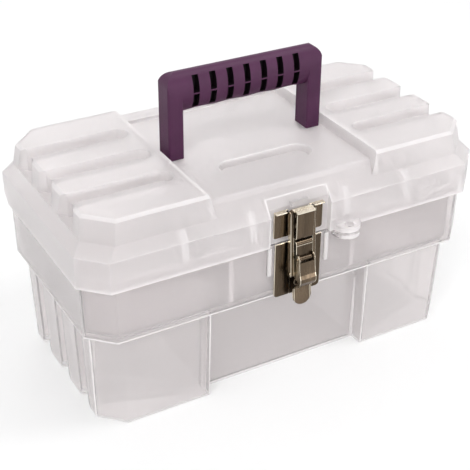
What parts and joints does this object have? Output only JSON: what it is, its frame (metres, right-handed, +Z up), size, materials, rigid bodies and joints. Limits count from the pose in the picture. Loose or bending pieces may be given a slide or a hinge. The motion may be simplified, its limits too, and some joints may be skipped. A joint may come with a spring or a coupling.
{
  "type": "tool box",
  "caption": "Hinged semi-clear plastic tool box with a fixed carrying handle, a steel draw latch, a padlock eye and a lift-out compartment tray.",
  "frame": {"origin": "middle of the tub's rest face, on the ground", "axes": "+X along the length to the right as seen from the latch side, +Y from the latch at the front to the hinges at the back, +Z up"},
  "size_m": [0.305, 0.1782, 0.2136],
  "materials": {
    "frosted_clear": "semi-clear natural polypropylene, smooth satin",
    "purple_handle": "fine moulded matte",
    "nickel_latch": "bright nickel plate",
    "zinc_steel": "zinc plated steel"
  },
  "bodies": {
    "tub": {"tub": "frosted_clear", "latch_base_plate": "nickel_latch", "latch_lever_pin": "nickel_latch", "base_plate_rivets": "nickel_latch", "base_plate_rivet_washers": "zinc_steel", "hinge_pin_left": "zinc_steel", "hinge_pin_right": "zinc_steel"},
    "lid": {"lid": "frosted_clear", "carrying_handle": "purple_handle", "handle_screws": "zinc_steel", "handle_washers": "zinc_steel", "latch_keeper": "nickel_latch", "keeper_rivets": "nickel_latch", "keeper_rivet_washers": "zinc_steel"},
    "latch_lever": {"latch_lever": "nickel_latch", "latch_loop_pin": "nickel_latch"},
    "latch_loop": {"latch_draw_loop": "nickel_latch"},
    "tray": {"lift_out_tray": "frosted_clear"}
  },
  "joints": [
    {"name": "lid_hinge", "type": "hinge", "parent": "tub", "child": "lid", "pos_m": [0, 0.083, 0.117], "axis": [-1, 0, 0], "range_deg": [0, 110]},
    {"name": "latch_lever", "type": "hinge", "parent": "tub", "child": "latch_lever", "pos_m": [0, -0.0863, 0.1033], "axis": [-1, 0, 0], "range_deg": [0, 115]},
    {"name": "latch_loop", "type": "hinge", "parent": "latch_lever", "child": "latch_loop", "pos_m": [0, -0.08277, 0.091], "axis": [-1, 0, 0], "range_deg": [-98, 0]},
    {"name": "tray_lift", "type": "slide", "parent": "tub", "child": "tray", "axis": [0, 0, 1], "range_m": [0, 0.02]}
  ],
  "couplings": [
    {"joint": "latch_loop", "follows": "latch_lever", "ratio": -0.85}
  ]
}
